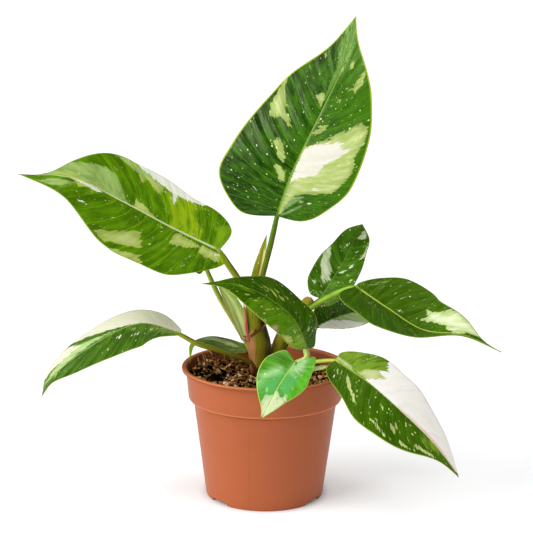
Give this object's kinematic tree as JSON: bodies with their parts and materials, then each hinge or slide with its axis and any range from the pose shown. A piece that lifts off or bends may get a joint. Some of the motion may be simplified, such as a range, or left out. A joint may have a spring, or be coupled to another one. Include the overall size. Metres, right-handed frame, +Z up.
{
  "type": "potted white princess philodendron",
  "caption": "Young variegated philodendron with heart-shaped to lance-shaped leaves on slender stalks, standing in a terracotta-coloured plastic nursery pot filled with potting mix.",
  "frame": {"origin": "centre of the pot's foot, on the surface that the pot stands on", "axes": "+Z up, -Y towards the front of the plant as pictured, +X to its right"},
  "size_m": [0.3282, 0.1576, 0.3412],
  "materials": {
    "pot_plastic": "satin moulded polypropylene",
    "potting_mix": "loose, moist, crumbly",
    "stem": "smooth with scars",
    "stalk": "smooth waxy",
    "sheath": "thin, slightly translucent",
    "blade": "glossy, variegated with lime and ivory"
  },
  "bodies": {
    "root": {"pot": "pot_plastic", "soil": "potting_mix", "main_stem": "stem", "side_stem": "stem", "leaf_top": "blade", "leaf_upper_left": "blade", "leaf_left_hidden": "blade", "leaf_centre_front": "blade", "leaf_right_upper": "blade", "leaf_right_long": "blade", "leaf_right_behind": "blade", "leaf_right_low": "blade", "leaf_front_small": "blade", "leaf_left_low": "blade", "leaf_left_small": "blade", "stalk_top": "stalk", "stalk_upper_left": "stalk", "stalk_left_hidden": "stalk", "stalk_centre_front": "stalk", "stalk_right_upper": "stalk", "stalk_right_long": "stalk", "stalk_right_behind": "stalk", "stalk_right_low": "stalk", "stalk_front_small": "stalk", "stalk_left_low": "stalk", "stalk_left_small": "stalk", "sheath_top": "sheath", "sheath_left": "sheath", "sheath_stem": "sheath", "sheath_right_low": "sheath"}
  },
  "joints": []
}
